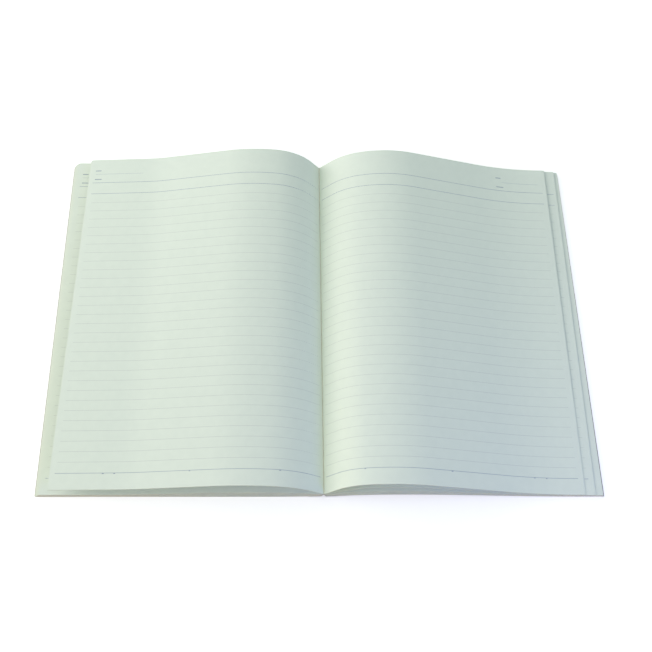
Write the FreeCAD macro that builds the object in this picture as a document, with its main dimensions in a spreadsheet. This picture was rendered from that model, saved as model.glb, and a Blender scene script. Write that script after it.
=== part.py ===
import FreeCAD, Part

import math
import os

# Open soft-cover composition notebook, lying on its back with about half of its leaves on each side.
# Millimetres, +Z up. X = 0 is the gutter, the head of the page is at +Y, Z = 0 is the table.
# Across each half, a distance is counted outwards from the gutter and a height from the table.

doc = FreeCAD.newDocument("OpenNotebook")

SIZES = (
    ("leaf_length", 179.0, "spine to fore-edge, along the leaf"),
    ("page_height", 252.0, "foot to head"),
    ("leaf_thickness", 0.09, "one leaf"),
    ("leaves_per_group", 5, "leaves that lie together in one layer of the fan"),
    ("front_groups", 9, "layers lying on the front cover"),
    ("back_groups", 7, "layers lying on the back cover"),
    ("front_loose", 1, "top layers that arch well clear of the front stack"),
    ("back_loose", 2, "top layers that arch well clear of the back stack"),
    ("air", 0.05, "air between layers where they lie flat"),
    ("cover_thickness", 0.3, "card of the covers"),
    ("gutter_height", 5.6, "top of the gutter above the table"),
    ("gutter_gap", 0.3, "gutter line to the inner edge of the top leaf"),
    ("spine_spread", 1.7, "gutter line to the outer corner of the folded spine"),
    ("nip_depth", 2.0, "depth over which the leaves are held together at the spine"),
    ("tape_thickness", 0.2, "spine tape"),
    ("tape_lap", 8.0, "tape on the outside of each cover"),
    ("tape_clearance", 0.03, "glue line between the tape and what it wraps"),
    ("fold_drop", 0.5, "top of the gutter to the centre of the fold in the tape"),
    ("front_head_corner", 3.5, "rounded outer corner at the head, front half"),
    ("back_head_corner", 1.5, "rounded outer corner at the head, back half"),
    ("foot_corner", 0.6, "rounded outer corners at the foot"),
    ("front_rise_run", 8.7, "straight rise out of the gutter"),
    ("front_shoulder_run", 30.0, "arc over the shoulder"),
    ("front_crest_run", 36.0, "arc over the crest"),
    ("front_sag_run", 16.0, "arc that eases the fall"),
    ("front_flat_run", 43.3, "straight run to the fore-edge"),
    ("front_rise_angle", 46.3, "degrees, top leaf out of the gutter"),
    ("front_shoulder_angle", 7.2, "degrees, top leaf after the shoulder"),
    ("front_tail_angle", 4.0, "degrees down, top leaf at the fore-edge"),
    ("front_lift", 7.0, "top layer's fore-edge above the stack"),
    ("front_slack_ratio", 0.3, "arch of the stack as a share of the top leaf's"),
    ("front_cover_dip_angle", 2.5, "degrees down, front cover from the spine"),
    ("back_rise_run", 12.1, "straight rise out of the gutter"),
    ("back_shoulder_run", 21.6, "arc over the shoulder"),
    ("back_crest_run", 41.4, "arc over the crest"),
    ("back_sag_run", 45.0, "arc that eases the fall"),
    ("back_flat_run", 8.9, "straight run to the fore-edge"),
    ("back_rise_angle", 47.7, "degrees, top leaf out of the gutter"),
    ("back_shoulder_angle", 13.6, "degrees, top leaf after the shoulder"),
    ("back_tail_angle", 1.6, "degrees down, top leaf at the fore-edge"),
    ("back_lift", 0.3, "top layer's fore-edge above the stack"),
    ("back_slack_ratio", 0.25, "arch of the stack as a share of the top leaf's"),
    ("back_cover_start", 0.6, "height of the back cover's spine edge"),
    ("back_cover_rise_angle", 8.0, "degrees, back cover from the spine"),
    ("back_cover_shoulder_angle", 2.5, "degrees, back cover after the shoulder"),
)

sheet = doc.addObject("Spreadsheet::Sheet", "Sizes")
for row, (alias, value, note) in enumerate(SIZES, start=1):
    sheet.set(f"A{row}", alias)
    sheet.set(f"B{row}", str(value))
    sheet.set(f"C{row}", note)
    sheet.setAlias(f"B{row}", alias)
doc.recompute()


def size(alias):
    return float(sheet.get(alias))


def along(heading):
    angle = math.radians(heading)
    return FreeCAD.Vector(math.cos(angle), math.sin(angle), 0)


def square_to(heading):
    return along(heading + 90)


# A run that turns by less than this many degrees is drawn straight.
STRAIGHT = 0.05
# Lengths that differ by less than this are the same, in millimetres.
SAME = 1e-3


# A leaf is a chain of tangent runs. Each run is (length, heading at its start, heading at its end).
# The straight fall behind the crest takes what the other runs leave of the leaf's length.
def leaf_runs(side, rise, shoulder, fall, tail):
    lengths = [size(f"{side}_{name}_run") for name in ("rise", "shoulder", "crest", "sag", "flat")]
    lengths.insert(3, size("leaf_length") - sum(lengths))
    headings = (rise, rise, shoulder, -fall, -fall, -tail, -tail)
    return list(zip(lengths, headings, headings[1:]))


def is_straight(run):
    return abs(run[2] - run[1]) < STRAIGHT


def run_end(point, run):
    length, heading, last = run
    if is_straight(run):
        return point + along((heading + last) / 2) * length
    radius = length / math.radians(last - heading)
    return point + square_to(heading) * radius - square_to(last) * radius


def path_end(start, runs):
    point = start
    for run in runs:
        point = run_end(point, run)
    return point


# The fall behind the crest is the one that brings the fore-edge down to its place in the stack.
def fall_to(height, start, side, rise, shoulder, tail):
    shallow, steep = -60.0, 80.0
    for _ in range(60):
        fall = (shallow + steep) / 2
        if path_end(start, leaf_runs(side, rise, shoulder, fall, tail)).y > height:
            shallow = fall
        else:
            steep = fall
    return fall


def curve(start, runs, offset):
    pieces = []
    point = start
    for run in runs:
        length, heading, last = run
        end = run_end(point, run)
        a = point + square_to(heading) * offset
        b = end + square_to(last) * offset
        if is_straight(run):
            pieces.append(Part.LineSegment(a, b))
        else:
            half = (length / 2, heading, (heading + last) / 2)
            middle = run_end(point, half) + square_to(half[2]) * offset
            pieces.append(Part.Arc(a, middle, b))
        point = end
    return pieces


def through(points):
    return Part.LineSegment(*points) if len(points) == 2 else Part.Arc(*points)


def points_of(piece):
    if isinstance(piece, Part.LineSegment):
        return [piece.StartPoint, piece.EndPoint]
    middle = piece.value((piece.FirstParameter + piece.LastParameter) / 2)
    return [piece.StartPoint, middle, piece.EndPoint]


def turned_back(pieces):
    return [through(points_of(piece)[::-1]) for piece in reversed(pieces)]


def mirrored(pieces):
    flip = FreeCAD.Matrix(-1, 0, 0, 0, 0, 1, 0, 0, 0, 0, 1, 0, 0, 0, 0, 1)
    return [through([flip.multVec(point) for point in points_of(piece)]) for piece in pieces]


# The front half lies at -X, the back half at +X.
def placed(side, pieces):
    return mirrored(pieces) if side == "front" else pieces


def closed(pieces):
    outline = []
    for piece, following in zip(pieces, pieces[1:] + pieces[:1]):
        outline.append(piece)
        if piece.EndPoint.distanceToPoint(following.StartPoint) > SAME:
            outline.append(Part.LineSegment(piece.EndPoint, following.StartPoint))
    return outline


def extruded_body(name, outline):
    body = doc.addObject("PartDesign::Body", name)
    body.Label = name
    plane = next(f for f in body.Origin.OriginFeatures if f.Role == "XZ_Plane")
    sketch = body.newObject("Sketcher::SketchObject", f"{name}_section")
    sketch.AttachmentSupport = [(plane, "")]
    sketch.MapMode = "FlatFace"
    sketch.addGeometry(outline, False)
    pad = body.newObject("PartDesign::Pad", f"{name}_pad")
    pad.Profile = sketch
    pad.SideType = "Symmetric"
    pad.setExpression("Length", "Sizes.page_height")
    doc.recompute()
    return body


# The outer corners of a sheet stand on its fore-edge: end is 1 at the head and -1 at the foot.
def round_corners(body, alias, end, thickness):
    solid = body.Tip
    names = []
    for number, edge in enumerate(solid.Shape.Edges, start=1):
        a, b = (vertex.Point for vertex in edge.Vertexes)
        at_end = min(a.y * end, b.y * end) > size("page_height") / 2 - SAME
        across = abs(a.distanceToPoint(b) - thickness) < SAME
        outside = min(abs(a.x), abs(b.x)) > size("leaf_length") / 2
        if at_end and across and outside:
            names.append(f"Edge{number}")
    fillet = body.newObject("PartDesign::Fillet", f"{body.Label}_{alias}")
    fillet.Base = (solid, names)
    fillet.setExpression("Radius", f"Sizes.{alias}")
    body.Tip = fillet
    doc.recompute()


# Share of the top leaf's arch for each layer: the stack rises a little, then the loose layers spread.
def lifts(groups, loose, slack):
    stacked = groups - loose
    shares = [slack * i / (stacked - 1) for i in range(stacked)]
    return shares + [slack + (1 - slack) * (k + 1) / loose for k in range(loose)]


def blend(low, high, share):
    return low + (high - low) * share


# Front cover: flat on the table, and easing up to the spine.
def front_cover_path():
    dip = size("front_cover_dip_angle")
    runs = leaf_runs("front", -dip, 0, 0, 0)
    drop = path_end(FreeCAD.Vector(), runs).y
    return FreeCAD.Vector(size("spine_spread"), -drop, 0), runs


# Back cover: arched off the table behind the spine, down flat at the fore-edge.
def back_cover_path():
    start = FreeCAD.Vector(size("spine_spread"), size("back_cover_start"), 0)
    rise = size("back_cover_rise_angle")
    shoulder = size("back_cover_shoulder_angle")
    fall = fall_to(0, start, "back", rise, shoulder, 0)
    return start, leaf_runs("back", rise, shoulder, fall, 0)


COVER_PATHS = {"front": front_cover_path(), "back": back_cover_path()}


def gutter_edge():
    return FreeCAD.Vector(size("gutter_gap"), size("gutter_height"), 0)


def crossing(p, d, q, e):
    t = ((q.x - p.x) * e.y - (q.y - p.y) * e.x) / (d.x * e.y - d.y * e.x)
    return p + d * t


# The spine edges of all layers lie on one line, from the gutter down to the cover's outer corner.
def spine_line(side):
    return (COVER_PATHS[side][0] - gutter_edge()).normalize()


def spine_foot(side):
    start, runs = COVER_PATHS[side]
    heading = runs[0][1]
    above = start + square_to(heading) * (size("cover_thickness") + size("air"))
    return crossing(start, spine_line(side), above, along(heading))


def cover(side):
    start, runs = COVER_PATHS[side]
    lower = curve(start, runs, 0)
    upper = turned_back(curve(start, runs, size("cover_thickness")))
    body = extruded_body(f"{side}_cover", placed(side, closed(lower + upper)))
    round_corners(body, f"{side}_head_corner", 1, size("cover_thickness"))
    round_corners(body, "foot_corner", -1, size("cover_thickness"))
    return body


def layer_paths(side):
    groups = int(size(f"{side}_groups"))
    slack = size(f"{side}_slack_ratio")
    top_rise = size(f"{side}_rise_angle")
    top_shoulder = size(f"{side}_shoulder_angle")
    layer = size("leaf_thickness") * size("leaves_per_group")
    pitch = layer + size("air")
    cover_runs = COVER_PATHS[side][1]
    low_rise = cover_runs[0][1]
    low_shoulder = cover_runs[1][2]
    foot = spine_foot(side)
    top = gutter_edge() - square_to(top_rise) * layer
    paths = []
    for i, share in enumerate(lifts(groups, int(size(f"{side}_loose")), slack)):
        start = blend(foot, top, i / (groups - 1))
        rise = blend(low_rise, top_rise, share)
        shoulder = blend(low_shoulder, top_shoulder, share)
        spread = max(0, share - slack) / (1 - slack)
        height = size("cover_thickness") + size("air") + i * pitch + spread * size(f"{side}_lift")
        tail = spread * size(f"{side}_tail_angle")
        fall = fall_to(height, start, side, rise, shoulder, tail)
        paths.append((start, leaf_runs(side, rise, shoulder, fall, tail)))
    return paths


# All leaves on one side: layers that fan out of the spine, joined over the depth of the nip.
def pages(side):
    layer = size("leaf_thickness") * size("leaves_per_group")
    nip = size("nip_depth")
    paths = layer_paths(side)
    outline = []
    for i, (start, runs) in enumerate(paths):
        length, heading, last = runs[0]
        root = start + along(heading) * nip
        beyond = [(length - nip, heading, last)] + runs[1:]
        first = i == 0
        final = i == len(paths) - 1
        outline += curve(start, runs, 0) if first else curve(root, beyond, 0)
        outline += turned_back(curve(start, runs, layer) if final else curve(root, beyond, layer))
    body = extruded_body(f"{side}_pages", placed(side, closed(outline)))
    round_corners(body, f"{side}_head_corner", 1, layer)
    round_corners(body, "foot_corner", -1, layer)
    return body


# Towards the inside of the notch under the folded spine.
def notchwards(side):
    spine = spine_line(side)
    return FreeCAD.Vector(spine.y, -spine.x, 0)


# Spine tape: laps under each cover, runs up both faces of the folded spine and turns over at the gutter.
def tape_leg(side, centre, radius, offset):
    start, runs = COVER_PATHS[side]
    heading = runs[0][1]
    top = centre - notchwards(side) * radius
    under = start - square_to(heading) * offset
    corner = crossing(top, spine_line(side), under, along(heading))
    end = under + along(heading) * size("tape_lap")
    return [Part.LineSegment(end, corner), Part.LineSegment(corner, top)]


def tape_line(radius, offset, centre):
    crown = centre + FreeCAD.Vector(0, radius, 0)
    left = placed("front", tape_leg("front", centre, radius, offset))
    right = placed("back", turned_back(tape_leg("back", centre, radius, offset)))
    return left + [Part.Arc(left[-1].EndPoint, crown, right[0].StartPoint)] + right


def spine_tape():
    centre = FreeCAD.Vector(0, size("gutter_height") - size("fold_drop"), 0)
    clear = size("tape_clearance")
    radius = min((centre - gutter_edge()).dot(notchwards(side)) for side in COVER_PATHS) - clear
    inner = tape_line(radius, clear, centre)
    outer = tape_line(radius - size("tape_thickness"), clear + size("tape_thickness"), centre)
    return extruded_body("spine_tape", closed(inner + turned_back(outer)))


bodies = [cover("front"), pages("front"), spine_tape(), cover("back"), pages("back")]
doc.recompute()

for thing in doc.Objects:
    if "Invalid" in thing.State or "Error" in thing.State:
        raise RuntimeError(f"{thing.Name} failed: {thing.State}")
for body in bodies:
    if body.Shape.isNull() or not body.Shape.isValid() or len(body.Shape.Solids) != 1:
        raise RuntimeError(f"{body.Label} isn't one valid solid")

os.makedirs("parts", exist_ok=True)
for body in bodies:
    body.Shape.exportStep(f"parts/{body.Label}.step")
    print(body.Label, round(body.Shape.Volume), "mm3", body.Shape.BoundBox)
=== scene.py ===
import math

import bpy
from mathutils import Matrix, Vector


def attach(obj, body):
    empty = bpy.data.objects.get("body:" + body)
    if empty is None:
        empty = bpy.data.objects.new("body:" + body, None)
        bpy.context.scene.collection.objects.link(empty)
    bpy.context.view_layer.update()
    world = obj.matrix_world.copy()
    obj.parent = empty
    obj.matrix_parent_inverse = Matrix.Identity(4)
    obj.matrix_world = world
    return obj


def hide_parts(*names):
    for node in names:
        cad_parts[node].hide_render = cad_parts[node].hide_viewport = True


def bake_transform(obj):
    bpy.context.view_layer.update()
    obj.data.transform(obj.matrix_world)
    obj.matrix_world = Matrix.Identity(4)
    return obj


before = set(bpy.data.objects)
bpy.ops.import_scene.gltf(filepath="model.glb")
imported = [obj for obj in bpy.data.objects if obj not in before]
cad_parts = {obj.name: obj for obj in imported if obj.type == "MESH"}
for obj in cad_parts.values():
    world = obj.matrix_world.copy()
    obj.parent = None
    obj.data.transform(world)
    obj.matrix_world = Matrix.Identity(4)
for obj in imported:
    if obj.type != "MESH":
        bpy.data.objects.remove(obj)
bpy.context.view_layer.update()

# Open composition notebook. Metres, with the gutter on X = 0, the head at +Y and the table at Z = 0.
MM = 0.001

PAGE_HEIGHT = 252 * MM
LEAF_THICKNESS = 0.09 * MM
LEAF_PITCH = 0.1 * MM
LEAVES_PER_LAYER = 5
COVER_THICKNESS = 0.3 * MM
COVER_AIR = 0.05 * MM
GUTTER_EDGE = Vector((0.3, 5.6)) * MM
SPINE_SPREAD = 1.7 * MM

# Each sheet has this many columns across. A run that turns by less than STRAIGHT degrees is a line.
COLUMNS = 89
STRAIGHT = 0.05

# The arch of the leaves isn't the same at the foot and at the head, so each half has both sections.
# "lean" is how far the open book leans out of square to the gutter at that end.
FOOT = {"y": -PAGE_HEIGHT / 2, "lean": 0.35 * MM}
HEAD = {"y": PAGE_HEIGHT / 2, "lean": -0.6 * MM}

# "rise" and "shoulder" are the headings in degrees out of the gutter and before the crest, "tail" the
# last one before the fore-edge. "slack" is how far the last leaf of the stack joins the arch, "middle"
# how far the parted layer over it does. "lift" is how high the top leaf hovers at the fore-edge, "warp"
# how high the cover stands off the table there. "reach" is the length in mm of the lowest leaf, of the
# last one in the stack and of the top one, and "runs" the length in mm of each run of the section.
FRONT = {
    "name": "front", "side": -1, "layers": 9, "loose": 1, "runs": (8.7, 30, 36, 45, 16, 43.3),
    "cover_rise": -2.5, "cover_shoulder": 0, "cover_edge": 1.034 * MM, "overhang": 0.2 * MM,
    "foot": {
        "rise": 40.2, "shoulder": 6.6, "tail": 1.6, "slack": 0.27, "middle": 1, "lift": 9.6 * MM,
        "warp": 0, "reach": (181.2, 179.6, 177.2),
    },
    "head": {
        "rise": 52.4, "shoulder": 7.8, "tail": 4.0, "slack": 0.42, "middle": 1, "lift": 3.4 * MM,
        "warp": 3.2 * MM, "reach": (180.1, 179.3, 177.0),
    },
    "corners": {"top": 0.9 * MM, "stack": 1.5 * MM},
}
BACK = {
    "name": "back", "side": 1, "layers": 7, "loose": 2, "runs": (12.1, 21.6, 41.4, 50, 45, 8.9),
    "cover_rise": 8.0, "cover_shoulder": 2.5, "cover_edge": 0.6 * MM, "overhang": 0.6 * MM,
    "foot": {
        "rise": 50.4, "shoulder": 10.3, "tail": 1.6, "slack": 0.2, "middle": 0.6, "lift": 0.1 * MM,
        "warp": 0, "reach": (179.7, 180.8, 178.6),
    },
    "head": {
        "rise": 45.0, "shoulder": 16.9, "tail": 1.6, "slack": 0.1, "middle": 0.4, "lift": 1.6 * MM,
        "warp": 0, "reach": (179.7, 180.7, 179.4),
    },
    "corners": {"top": 0.7 * MM, "stack": 0.8 * MM},
}

# The corners are round: each is cut in straight facets at these angles. "corners" are those at the head.
FOOT_CORNER = 0.6 * MM
CORNER_FACETS = (18, 36, 54, 72)


def pick(*pieces):
    bpy.ops.object.select_all(action="DESELECT")
    for piece in pieces:
        piece.select_set(True)
    bpy.context.view_layer.objects.active = pieces[0]


def shape_with(piece, kind, **settings):
    pick(piece)
    modifier = piece.modifiers.new(kind.title(), kind)
    for name, value in settings.items():
        setattr(modifier, name, value)
    bpy.ops.object.modifier_apply(modifier=modifier.name)


def joined(name, pieces):
    pick(*pieces)
    if len(pieces) > 1:
        bpy.ops.object.join()
    piece = bpy.context.object
    piece.name = piece.data.name = name
    return piece


def copy_of(piece):
    copy = piece.copy()
    copy.data = piece.data.copy()
    bpy.context.collection.objects.link(copy)
    return copy


# The section of a leaf: tangent runs, each with its length and the headings where it starts and ends.
def along(heading):
    return Vector((math.cos(math.radians(heading)), math.sin(math.radians(heading))))


def square_to(heading):
    return along(heading + 90)


def run_end(point, length, heading, last):
    if abs(last - heading) < STRAIGHT:
        return point + along((heading + last) / 2) * length
    return point + (square_to(heading) - square_to(last)) * (length / math.radians(last - heading))


def leaf_runs(half, rise, shoulder, fall, tail):
    headings = (rise, rise, shoulder, -fall, -fall, -tail, -tail)
    return [(length * MM, a, b) for length, a, b in zip(half["runs"], headings, headings[1:])]


def point_along(start, runs, distance):
    for length, heading, last in runs:
        if distance <= length:
            return run_end(start, distance, heading, heading + (last - heading) * distance / length)
        start = run_end(start, length, heading, last)
        distance -= length
    return start + along(runs[-1][2]) * distance


# The fall behind the crest is the one that brings the fore-edge down to its height in the stack. It is
# searched for between two slopes, in halves.
FALL_LIMITS = (-60.0, 80.0)
HALVINGS = 40


def section(half, start, rise, shoulder, tail, height, reach):
    shallow, steep = FALL_LIMITS
    for _ in range(HALVINGS):
        fall = (shallow + steep) / 2
        runs = leaf_runs(half, rise, shoulder, fall, tail)
        if point_along(start, runs, reach).y > height:
            shallow = fall
        else:
            steep = fall
    step = reach / COLUMNS
    return [point_along(start, runs, column * step) for column in range(COLUMNS + 1)]


def crossing(p, d, q, e):
    return p + d * (((q.x - p.x) * e.y - (q.y - p.y) * e.x) / (d.x * e.y - d.y * e.x))


def blend(low, high, share):
    return low + (high - low) * share


# How far each leaf joins the arch of the top one. Some leaves cling together and others part a little.
STACK_PARTING = 0.9
LAYER_PARTING = 0.006
LAYER_UNEVEN = 0.4


def arch_shares(half, slack, middle):
    stacked = (half["layers"] - half["loose"]) * LEAVES_PER_LAYER
    gaps = [0]
    for n in range(1, stacked):
        gaps.append(gaps[-1] + 1 + STACK_PARTING * math.sin(2.1 * n) * math.cos(0.7 * n + half["side"]))
    shares = [slack * gap / gaps[-1] for gap in gaps]
    for layer in range(half["loose"]):
        level = 1 if layer == half["loose"] - 1 else middle
        for n in range(LEAVES_PER_LAYER):
            under = LEAVES_PER_LAYER - 1 - n
            shares.append(level - LAYER_PARTING * under * (1 + LAYER_UNEVEN * math.sin(3.3 * n)))
    return shares


def leaf_section(half, end, n, count):
    shape = half[end]
    share = arch_shares(half, shape["slack"], shape["middle"])[n]
    edge = Vector((SPINE_SPREAD, half["cover_edge"]))
    spine = (edge - GUTTER_EDGE).normalized()
    above = edge + square_to(half["cover_rise"]) * (COVER_THICKNESS + COVER_AIR)
    lowest = crossing(edge, spine, above, along(half["cover_rise"]))
    highest = GUTTER_EDGE - square_to(shape["rise"]) * LEAF_THICKNESS
    spread = max(0, share - shape["slack"]) / (1 - shape["slack"])
    return section(
        half, blend(lowest, highest, n / (count - 1)),
        blend(half["cover_rise"], shape["rise"], share),
        blend(half["cover_shoulder"], shape["shoulder"], share), spread * shape["tail"],
        shape["warp"] + COVER_THICKNESS + COVER_AIR + n * LEAF_PITCH + spread * shape["lift"],
        leaf_reach(half, end, n),
    )


# In a loose layer each leaf ends a little short of the one under it.
LEAF_STEP = 0.04


def leaf_reach(half, end, n):
    lowest, stacked, top = half[end]["reach"]
    last_stacked = (half["layers"] - half["loose"]) * LEAVES_PER_LAYER - 1
    if n <= last_stacked:
        return blend(lowest, stacked, n / last_stacked) * MM
    layer = (n - last_stacked - 1) // LEAVES_PER_LAYER + 1
    return (blend(stacked, top, layer / half["loose"]) - LEAF_STEP * (n % LEAVES_PER_LAYER)) * MM


def cover_section(half, end):
    return section(
        half, Vector((SPINE_SPREAD, half["cover_edge"])), half["cover_rise"], half["cover_shoulder"], 0,
        half[end]["warp"], half[end]["reach"][0] * MM + half["overhang"],
    )


def section_line(points, side, end):
    line = bpy.data.curves.new("section", "CURVE")
    line.dimensions = "3D"
    spline = line.splines.new("POLY")
    spline.points.add(len(points) - 1)
    for knot, point in zip(spline.points, points):
        knot.co = (side * point.x + end["lean"], end["y"], point.y, 1)
    piece = bpy.data.objects.new("section", line)
    bpy.context.collection.objects.link(piece)
    pick(piece)
    bpy.ops.object.convert(target="MESH")
    return bpy.context.object


# A sheet is drawn from its section at the foot to its section at the head, with its printed side up.
def sheet_between(foot_points, head_points, side):
    lines = [section_line(foot_points, side, FOOT), section_line(head_points, side, HEAD)]
    sheet = joined("sheet", lines)
    bpy.ops.object.mode_set(mode="EDIT")
    bpy.ops.mesh.select_mode(type="EDGE")
    bpy.ops.mesh.select_all(action="SELECT")
    bpy.ops.mesh.bridge_edge_loops(number_cuts=3, interpolation="LINEAR")
    if sheet_faces_down(sheet):
        bpy.ops.mesh.select_all(action="SELECT")
        bpy.ops.mesh.flip_normals()
    bpy.ops.object.mode_set(mode="OBJECT")
    return sheet


def sheet_faces_down(sheet):
    sheet.update_from_editmode()
    return sheet.data.polygons[0].normal.z < 0


def cut(piece, *planes):
    pick(piece)
    bpy.ops.object.mode_set(mode="EDIT")
    for point, outward in planes:
        bpy.ops.mesh.select_all(action="SELECT")
        bpy.ops.mesh.bisect(plane_co=point, plane_no=outward, clear_outer=True)
    bpy.ops.object.mode_set(mode="OBJECT")


def fore_edge(half, points, end):
    return Vector((half["side"] * points[-1].x + end["lean"], end["y"], 0))


def corner_planes(half, corner, end, radius):
    side, way = half["side"], math.copysign(1, end["y"])
    centre = corner - Vector((side * radius, way * radius, 0))
    planes = []
    for angle in CORNER_FACETS:
        slope = along(angle)
        outward = Vector((side * slope.x, way * slope.y, 0))
        planes.append((centre + outward * radius, outward))
    return planes


def trimmed_sheet(half, foot_points, head_points, head_radius):
    sheet = sheet_between(foot_points, head_points, half["side"])
    cut(
        sheet,
        *corner_planes(half, fore_edge(half, head_points, HEAD), HEAD, head_radius),
        *corner_planes(half, fore_edge(half, foot_points, FOOT), FOOT, FOOT_CORNER),
    )
    return sheet


# Ruling of one page: grey rows of 7 mm, a blue line under the last one and two blue lines over the first.
ROW_HEIGHT = 7 * MM
ROW_COUNT = 30
LOWEST_ROW = FOOT["y"] + 11.05 * MM
FOOTER_LINE = LOWEST_ROW - 0.3 * MM
HEADER_LINE = LOWEST_ROW + ROW_COUNT * ROW_HEIGHT + 0.85 * MM
TITLE_LINE = HEADER_LINE + 9.6 * MM
GREY_WIDTH = 0.2 * MM
BLUE_WIDTH = 0.22 * MM
TICK_WIDTH = 0.4 * MM
TICK_HALF_LENGTH = 0.4
INK_LIFT = LEAF_THICKNESS + 0.012 * MM

# Spans are (from, to) in mm along the leaf from the gutter. A label has its span, Y and width, in mm:
# two short dashes, and an underline between them. Ticks are places in mm along the leaf.
ROW_SPAN = {"front": (1.6, 173.4), "back": (1.6, 174.6)}
HEADER_SPAN = {"front": (1.6, 174.2), "back": (1.6, 176.4)}
FOOTER_SPAN = {"front": (1.6, 173.9), "back": (1.6, 174.9)}
LABELS = {
    "front": (((168.6, 172.9), 116.1, 0.5), ((168.0, 172.9), 108.5, 0.5), ((138.0, 172.5), 113.1, 0.11)),
    "back": (((141.3, 144.6), 116.6, 0.5), ((140.7, 146.4), 108.6, 0.5), ((145.4, 172.8), 112.9, 0.11)),
}
FOOTER_TICKS = {"front": (32.5, 89.0, 136.5, 144.0), "back": (32.5, 89.0, 146.0, 154.0)}


def at_length(points, distance):
    lengths = [0]
    for point, after in zip(points, points[1:]):
        lengths.append(lengths[-1] + (after - point).length)
    place = distance * MM / (lengths[-1] / COLUMNS)
    column = min(int(place), COLUMNS - 1)
    return blend(points[column], points[column + 1], place - column)


def across(half, foot_points, head_points, distance, outwards):
    low, high = (
        Vector((half["side"] * at_length(points, distance).x + end["lean"], end["y"], 0))
        for points, end in ((foot_points, FOOT), (head_points, HEAD))
    )
    run = high - low
    square = Vector((run.y, -run.x, 0)) * half["side"]
    return low, square * (1 if outwards else -1)


def printed(sheet, half, foot_points, head_points, y, width, start, end):
    mark = copy_of(sheet)
    cut(
        mark,
        ((0, y + width / 2, 0), (0, 1, 0)), ((0, y - width / 2, 0), (0, -1, 0)),
        across(half, foot_points, head_points, start, False),
        across(half, foot_points, head_points, end, True),
    )
    return mark


def print_page(sheet, half, foot_points, head_points, shift):
    name = half["name"]

    def mark(y, width, span):
        start, end = span
        return printed(sheet, half, foot_points, head_points, y, width, start + shift, end + shift)

    rows = [LOWEST_ROW + row * ROW_HEIGHT for row in range(1, ROW_COUNT)]
    grey = [mark(y, GREY_WIDTH, ROW_SPAN[name]) for y in rows]
    blue = [mark(y, BLUE_WIDTH, HEADER_SPAN[name]) for y in (HEADER_LINE, TITLE_LINE)]
    blue.append(mark(FOOTER_LINE, BLUE_WIDTH, FOOTER_SPAN[name]))
    for span, y, height in LABELS[name]:
        blue.append(mark(y * MM, height * MM, span))
    for tick in FOOTER_TICKS[name]:
        span = tick - TICK_HALF_LENGTH, tick + TICK_HALF_LENGTH
        blue.append(mark(FOOTER_LINE - TICK_WIDTH, TICK_WIDTH, span))
    return grey, blue


def raised(name, marks):
    ink = joined(name, marks)
    bpy.ops.object.mode_set(mode="EDIT")
    bpy.ops.mesh.select_all(action="SELECT")
    bpy.ops.transform.shrink_fatten(value=INK_LIFT)
    bpy.ops.object.mode_set(mode="OBJECT")
    return ink


# Paper, card and ink are a soft cloud of two tones over a fine grain, which also varies the dullness.
TONE_FROM, TONE_TO = 0.3, 0.7
DULLNESS_SPREAD = 0.06
GRAIN_STRENGTH = 0.5


def material(name, slots):
    finish = bpy.data.materials.new(name)
    finish.use_nodes = True
    shader = finish.node_tree.nodes["Principled BSDF"]
    for socket, value in slots.items():
        shader.inputs[socket].default_value = value
    return finish, finish.node_tree, shader


def mottled(name, tones, scale, roughness, grain_scale, grain):
    finish, tree, shader = material(name, {})
    nodes, links = tree.nodes, tree.links
    place = nodes.new("ShaderNodeTexCoord")
    cloud = nodes.new("ShaderNodeTexNoise")
    cloud.inputs["Scale"].default_value = scale
    cloud.inputs["Detail"].default_value = 5
    links.new(place.outputs["Object"], cloud.inputs["Vector"])
    tone = nodes.new("ShaderNodeValToRGB")
    tone.color_ramp.elements[0].position = TONE_FROM
    tone.color_ramp.elements[1].position = TONE_TO
    tone.color_ramp.elements[0].color = (*tones[0], 1)
    tone.color_ramp.elements[1].color = (*tones[1], 1)
    links.new(cloud.outputs["Fac"], tone.inputs["Fac"])
    links.new(tone.outputs["Color"], shader.inputs["Base Color"])
    fibre = nodes.new("ShaderNodeTexNoise")
    fibre.inputs["Scale"].default_value = grain_scale
    fibre.inputs["Detail"].default_value = 6
    links.new(place.outputs["Object"], fibre.inputs["Vector"])
    dull = nodes.new("ShaderNodeMapRange")
    dull.inputs["To Min"].default_value = roughness - DULLNESS_SPREAD
    dull.inputs["To Max"].default_value = roughness + DULLNESS_SPREAD
    links.new(fibre.outputs["Fac"], dull.inputs["Value"])
    links.new(dull.outputs["Result"], shader.inputs["Roughness"])
    bump = nodes.new("ShaderNodeBump")
    bump.inputs["Distance"].default_value = grain
    bump.inputs["Strength"].default_value = GRAIN_STRENGTH
    links.new(fibre.outputs["Fac"], bump.inputs["Height"])
    links.new(bump.outputs["Normal"], shader.inputs["Normal"])
    return finish


# Cloth is a weave of two sets of threads over a slightly uneven dye.
def woven(name, tones, threads, roughness, depth):
    finish = mottled(name, tones, 900, roughness, 2500, depth)
    nodes, links = finish.node_tree.nodes, finish.node_tree.links
    place = nodes.new("ShaderNodeTexCoord")
    crossed = nodes.new("ShaderNodeMath")
    crossed.operation = "MAXIMUM"
    for socket, way in enumerate("XY"):
        thread = nodes.new("ShaderNodeTexWave")
        thread.bands_direction = way
        thread.inputs["Scale"].default_value = threads
        thread.inputs["Distortion"].default_value = 0.6
        links.new(place.outputs["Object"], thread.inputs["Vector"])
        links.new(thread.outputs["Fac"], crossed.inputs[socket])
    weave = nodes.new("ShaderNodeBump")
    weave.inputs["Distance"].default_value = depth
    links.new(crossed.outputs[0], weave.inputs["Height"])
    links.new(nodes["Bump"].outputs["Normal"], weave.inputs["Normal"])
    links.new(weave.outputs["Normal"], nodes["Principled BSDF"].inputs["Normal"])
    return finish


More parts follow.
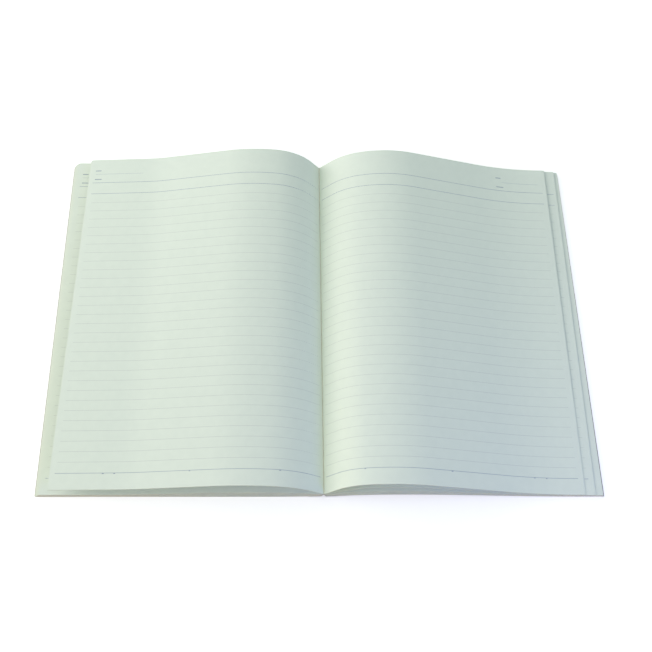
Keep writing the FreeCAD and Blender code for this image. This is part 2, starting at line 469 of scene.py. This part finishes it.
paper = mottled("page_paper", ((0.765, 0.835, 0.74), (0.785, 0.855, 0.757)), 200, 0.86, 2600, 0.00002)
# The cut edges of the leaves are painted much darker than the paper: painted shade on the edges.
paper_rim_painted_shade = mottled("cut_paper_edge_painted_shade", ((0.46, 0.45, 0.38), (0.56, 0.55, 0.47)), 900, 0.9, 4000, 0.00003)
grey_ink = mottled("grey_ruling_ink", ((0.56, 0.61, 0.56), (0.61, 0.66, 0.60)), 1500, 0.8, 3000, 0.000005)
blue_ink = mottled("blue_ruling_ink", ((0.21, 0.28, 0.37), (0.26, 0.33, 0.42)), 1500, 0.8, 3000, 0.000005)
card = mottled("cover_card", ((0.44, 0.42, 0.38), (0.53, 0.50, 0.46)), 300, 0.75, 1800, 0.00004)
# The cut edge of the cover card is painted darker than the card: painted shade on the edge.
card_rim_painted_shade = mottled("cut_card_edge_painted_shade", ((0.24, 0.25, 0.20), (0.33, 0.33, 0.27)), 900, 0.9, 4000, 0.00003)
# The fold is the paper painted darker and greyer: painted shade in the crease.
fold_paper_painted_shade = mottled("fold_paper_painted_shade", ((0.70, 0.71, 0.62), (0.76, 0.77, 0.68)), 500, 0.88, 2600, 0.00002)
tape_cloth = woven("spine_tape_cloth", ((0.07, 0.07, 0.075), (0.10, 0.10, 0.105)), 900, 0.8, 0.00004)


def finished(piece, *finishes):
    piece.data.materials.clear()
    for finish in finishes:
        piece.data.materials.append(finish)


# The cut edge all round takes the last finish of its sheet, whose dark tone is painted shade.
def with_thickness(piece, thickness):
    shape_with(piece, "SOLIDIFY", thickness=thickness, offset=1, material_offset_rim=1)
    pick(piece)
    bpy.ops.object.shade_smooth_by_angle(angle=math.radians(40))


# Leaves are counted from the lowest. "seen" holds the ones whose print shows, each with how many mm
# further out it sits than the print of the top leaf.
def half_book(half, seen):
    name = half["name"]
    count = half["layers"] * LEAVES_PER_LAYER
    leaves, grey, blue = [], [], []
    for n in range(count):
        top = n >= count - LEAVES_PER_LAYER
        points = leaf_section(half, "foot", n, count), leaf_section(half, "head", n, count)
        leaf = trimmed_sheet(half, *points, half["corners"]["top" if top else "stack"])
        finished(leaf, paper, paper_rim_painted_shade)
        leaves.append(leaf)
        if n in seen:
            page_grey, page_blue = print_page(leaf, half, *points, seen[n])
            grey += page_grey
            blue += page_blue
    grey, blue = raised(f"{name}_grey_ruling", grey), raised(f"{name}_blue_ruling", blue)
    stack, top_leaf = joined(f"{name}_leaves", leaves[:-1]), joined(f"{name}_top_leaf", leaves[-1:])
    points = cover_section(half, "foot"), cover_section(half, "head")
    cover = trimmed_sheet(half, *points, half["corners"]["stack"])
    cover.name = cover.data.name = f"{name}_cover_board"
    for leaf in (stack, top_leaf):
        with_thickness(leaf, LEAF_THICKNESS)
        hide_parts(f"{name}_pages")
    with_thickness(cover, COVER_THICKNESS)
    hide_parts(f"{name}_cover")
    finished(cover, card, card_rim_painted_shade)
    finished(grey, grey_ink)
    finished(blue, blue_ink)
    for piece in (stack, top_leaf, cover, grey, blue):
        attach(piece, f"{name}_half")


half_book(FRONT, seen={39: 2.6, 44: 0})
half_book(BACK, seen={29: 1.2, 34: 0})


# Spine tape, drawn as its middle line: under the covers, up the folded spine and over at the gutter.
TAPE_THICKNESS = 0.2 * MM
TAPE_CLEARANCE = 0.03 * MM
TAPE_LAP = 8 * MM
TAPE_NIP = 0.9 * MM
FOLD_CENTRE = GUTTER_EDGE.y - TAPE_NIP
FOLD_RADIUS = 0.294 * MM
FOLD_FACETS = 8
TAPE_OFFSET = TAPE_CLEARANCE + TAPE_THICKNESS / 2


def tape_leg(half):
    edge = Vector((SPINE_SPREAD, half["cover_edge"]))
    spine = (edge - GUTTER_EDGE).normalized()
    out = Vector((-spine.y, spine.x))
    top = Vector((0, FOLD_CENTRE)) + out * FOLD_RADIUS
    under = edge - square_to(half["cover_rise"]) * TAPE_OFFSET
    corner = crossing(top, spine, under, along(half["cover_rise"]))
    end = under + along(half["cover_rise"]) * TAPE_LAP
    return [Vector((half["side"] * p.x, p.y)) for p in (end, corner, top)], out


def spine_tape():
    left, left_out = tape_leg(FRONT)
    right, right_out = tape_leg(BACK)
    first = math.atan2(left_out.y, -left_out.x)
    last = math.atan2(right_out.y, right_out.x)
    centre = Vector((0, FOLD_CENTRE))
    crown = [
        centre + Vector((math.cos(a), math.sin(a))) * FOLD_RADIUS
        for a in (blend(first, last, step / FOLD_FACETS) for step in range(1, FOLD_FACETS))
    ]
    tape = strip_along("spine_tape_strip", left + crown + right[::-1], TAPE_THICKNESS)
    finished(tape, tape_cloth)
    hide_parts("spine_tape")
    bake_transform(tape)


def strip_along(name, points, thickness):
    strip = section_line(points, 1, FOOT)
    strip.name = strip.data.name = name
    bpy.ops.object.mode_set(mode="EDIT")
    bpy.ops.mesh.select_all(action="SELECT")
    bpy.ops.mesh.extrude_region_move(
        TRANSFORM_OT_translate={"value": (HEAD["lean"] - FOOT["lean"], PAGE_HEIGHT, 0)}
    )
    bpy.ops.mesh.select_all(action="SELECT")
    bpy.ops.mesh.normals_make_consistent(inside=False)
    bpy.ops.object.mode_set(mode="OBJECT")
    shape_with(strip, "SOLIDIFY", thickness=thickness, offset=0)
    return strip


# The middle sheet dips between the two halves, so its fold closes the gutter over the tape.
FOLD_HALF_WIDTH = 0.26 * MM
FOLD_DEPTH = 0.36 * MM
CREASE_HALF_WIDTH = 0.1 * MM
CREASE_SHARE = 0.85
BRIM_DROP = 0.05 * MM


def middle_fold():
    brim = Vector((FOLD_HALF_WIDTH, GUTTER_EDGE.y - BRIM_DROP))
    side = Vector((CREASE_HALF_WIDTH, brim.y - CREASE_SHARE * FOLD_DEPTH))
    half_way = [brim, side, Vector((0, brim.y - FOLD_DEPTH))]
    points = [Vector((-p.x, p.y)) for p in half_way[:2]] + half_way[::-1]
    fold = strip_along("middle_sheet_fold", points, LEAF_THICKNESS)
    # Its finish holds painted shade: the crease is painted darker than the paper.
    finished(fold, fold_paper_painted_shade)
    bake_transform(fold)


spine_tape()
middle_fold()


# Table, light and camera. The table and the sky are white where they are seen or mirrored.
TABLE_SIZE = 12
TABLE_DROP = 0.05 * MM
TABLE_GLOW = 0.45
SKY_COLOUR = (0.87, 1, 0.83, 1)
SKY_STRENGTH = 0.48
WHITE = (1, 1, 1, 1)


def seen_or_mirrored(tree):
    rays = tree.nodes.new("ShaderNodeLightPath")
    share = rays.outputs["Is Camera Ray"]
    for kind in ("Is Glossy Ray", "Is Transmission Ray"):
        either = tree.nodes.new("ShaderNodeMath")
        either.use_clamp = True
        tree.links.new(share, either.inputs[0])
        tree.links.new(rays.outputs[kind], either.inputs[1])
        share = either.outputs[0]
    return share


def table_top():
    bpy.ops.object.select_all(action="DESELECT")
    bpy.ops.mesh.primitive_plane_add(size=TABLE_SIZE, location=(0, 0, -TABLE_DROP))
    table = bpy.context.object
    table.name = "table_top"
    bpy.ops.object.transform_apply(location=True)
    finish, tree, shader = material("table_white", {"Base Color": (0.9, 0.9, 0.9, 1), "Roughness": 0.9})
    glow = tree.nodes.new("ShaderNodeMath")
    glow.operation = "MULTIPLY"
    glow.inputs[1].default_value = TABLE_GLOW
    tree.links.new(seen_or_mirrored(tree), glow.inputs[0])
    shader.inputs["Emission Color"].default_value = WHITE
    tree.links.new(glow.outputs[0], shader.inputs["Emission Strength"])
    finished(table, finish)


def lamp(name, place, aim, size, power, colour):
    light = bpy.data.lights.new(name, "AREA")
    light.shape = "SQUARE"
    light.size = size
    light.energy = power
    light.color = colour
    piece = bpy.data.objects.new(name, light)
    bpy.context.collection.objects.link(piece)
    piece.location = place
    piece.rotation_euler = (Vector(place) - Vector(aim)).to_track_quat("Z", "Y").to_euler()


def daylight():
    world = bpy.data.worlds.new("daylight")
    world.use_nodes = True
    tree = world.node_tree
    sky = tree.nodes["Background"]
    sky.inputs["Color"].default_value = SKY_COLOUR
    sky.inputs["Strength"].default_value = SKY_STRENGTH
    white = tree.nodes.new("ShaderNodeBackground")
    white.inputs["Color"].default_value = WHITE
    mix = tree.nodes.new("ShaderNodeMixShader")
    tree.links.new(seen_or_mirrored(tree), mix.inputs["Fac"])
    tree.links.new(sky.outputs[0], mix.inputs[1])
    tree.links.new(white.outputs[0], mix.inputs[2])
    tree.links.new(mix.outputs[0], tree.nodes["World Output"].inputs["Surface"])
    bpy.context.scene.world = world


CAMERA_PLACE = (-0.02281, -0.30814, 0.60834)
CAMERA_PITCH = 63.341
CAMERA_YAW = 4.905
CAMERA_ROLL = 4.740
CAMERA_LENS = 54.02


def camera():
    eye = bpy.data.cameras.new("camera")
    eye.lens = CAMERA_LENS
    eye.sensor_width = 36
    eye.clip_start = 0.01
    piece = bpy.data.objects.new("camera", eye)
    bpy.context.collection.objects.link(piece)
    turn = (
        Matrix.Rotation(math.radians(-CAMERA_YAW), 4, "Z")
        @ Matrix.Rotation(math.radians(90 - CAMERA_PITCH), 4, "X")
        @ Matrix.Rotation(math.radians(CAMERA_ROLL), 4, "Z")
    )
    piece.matrix_world = Matrix.Translation(CAMERA_PLACE) @ turn
    bpy.context.scene.camera = piece


table_top()
daylight()
lamp("window_on_left", (-1.1, 0.2, 0.4), (0, 0, 0), 1.0, 10, (1.0, 0.92, 0.98))
lamp("window_at_head", (-0.2, 1.2, 0.8), (0, 0, 0), 0.8, 4.7, (0.77, 0.8, 1.0))
lamp("room_at_foot", (-0.1, -1.3, 0.45), (0, 0, 0), 0.8, 5.6, (1.0, 0.78, 0.6))
lamp("blue_on_right", (0.42, -0.42, 0.33), (0.12, -0.1, 0), 0.3, 0.95, (0.02, 0.08, 1.0))
camera()
bpy.context.scene.view_settings.view_transform = "Standard"
